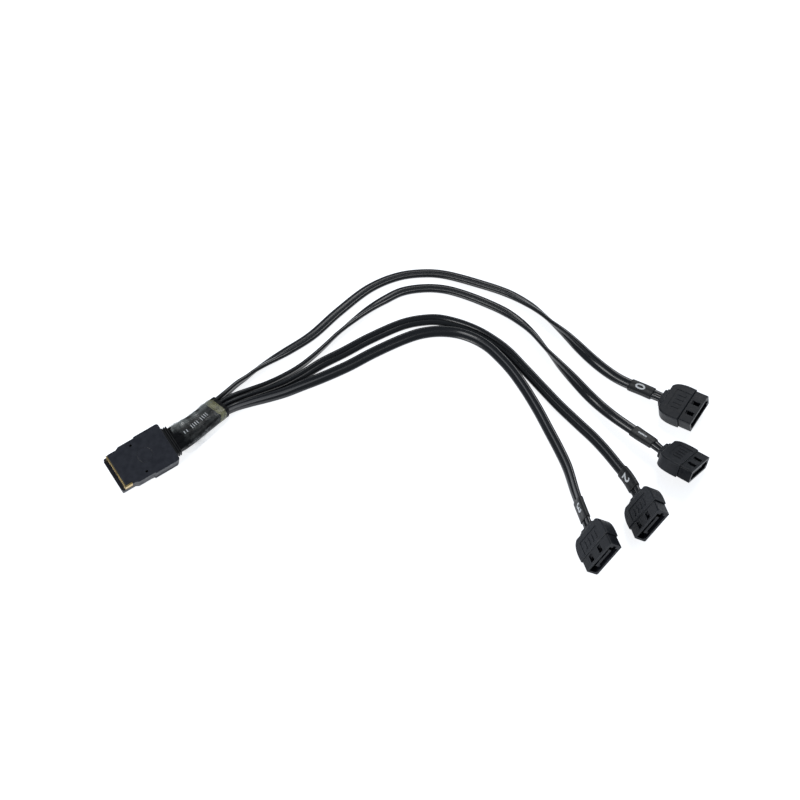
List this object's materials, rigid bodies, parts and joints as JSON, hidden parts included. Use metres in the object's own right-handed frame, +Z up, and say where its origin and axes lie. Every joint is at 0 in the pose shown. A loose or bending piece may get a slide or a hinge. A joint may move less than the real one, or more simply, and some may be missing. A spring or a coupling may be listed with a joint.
{
  "type": "mini sas breakout cable",
  "caption": "Wide flat plug whose bundle, in a clear sleeve, fans out into flat twin-core ribbons, each with a number sleeve and a small keyed drive connector.",
  "frame": {"origin": "centre of the box round the plug, the sleeve and the connectors, on the table", "axes": "+X from the wide plug towards the drive connectors, +Z up from the table, +Y towards the side the ribbons bow out to"},
  "size_m": [0.2845, 0.1848, 0.0213],
  "materials": {
    "plug_plastic": "fine matt charcoal moulding",
    "shield_gold": "thin plated sheet",
    "card_green": "lacquered board with plated pads",
    "potting_resin": "cast resin",
    "cable_plastic": "satin black jacket",
    "clear_plastic": "clear shrunk film",
    "label_plastic": "black shrunk sleeve with a pale number",
    "boot_plastic": "fine matt moulding",
    "housing_plastic": "smooth satin moulding",
    "contact_gold": "plated spring strip"
  },
  "bodies": {
    "root": {"plug_upper_shell": "plug_plastic", "plug_lower_shell": "plug_plastic", "plug_shield": "shield_gold", "paddle_card": "card_green", "wire_potting": "potting_resin", "plug_neck": "cable_plastic", "bundle_wrap": "cable_plastic", "clear_sleeve": "clear_plastic", "ribbon_0": "cable_plastic", "label_0": "label_plastic", "ribbon_1": "cable_plastic", "label_1": "label_plastic", "ribbon_2": "cable_plastic", "label_2": "label_plastic", "ribbon_3": "cable_plastic", "label_3": "label_plastic", "boot_0": "boot_plastic", "housing_0": "housing_plastic", "contact_0_1": "contact_gold", "contact_0_2": "contact_gold", "contact_0_3": "contact_gold", "contact_0_4": "contact_gold", "contact_0_5": "contact_gold", "contact_0_6": "contact_gold", "contact_0_7": "contact_gold", "boot_1": "boot_plastic", "housing_1": "housing_plastic", "contact_1_1": "contact_gold", "contact_1_2": "contact_gold", "contact_1_3": "contact_gold", "contact_1_4": "contact_gold", "contact_1_5": "contact_gold", "contact_1_6": "contact_gold", "contact_1_7": "contact_gold", "boot_2": "boot_plastic", "housing_2": "housing_plastic", "contact_2_1": "contact_gold", "contact_2_2": "contact_gold", "contact_2_3": "contact_gold", "contact_2_4": "contact_gold", "contact_2_5": "contact_gold", "contact_2_6": "contact_gold", "contact_2_7": "contact_gold", "boot_3": "boot_plastic", "housing_3": "housing_plastic", "contact_3_1": "contact_gold", "contact_3_2": "contact_gold", "contact_3_3": "contact_gold", "contact_3_4": "contact_gold", "contact_3_5": "contact_gold", "contact_3_6": "contact_gold", "contact_3_7": "contact_gold"}
  },
  "joints": []
}
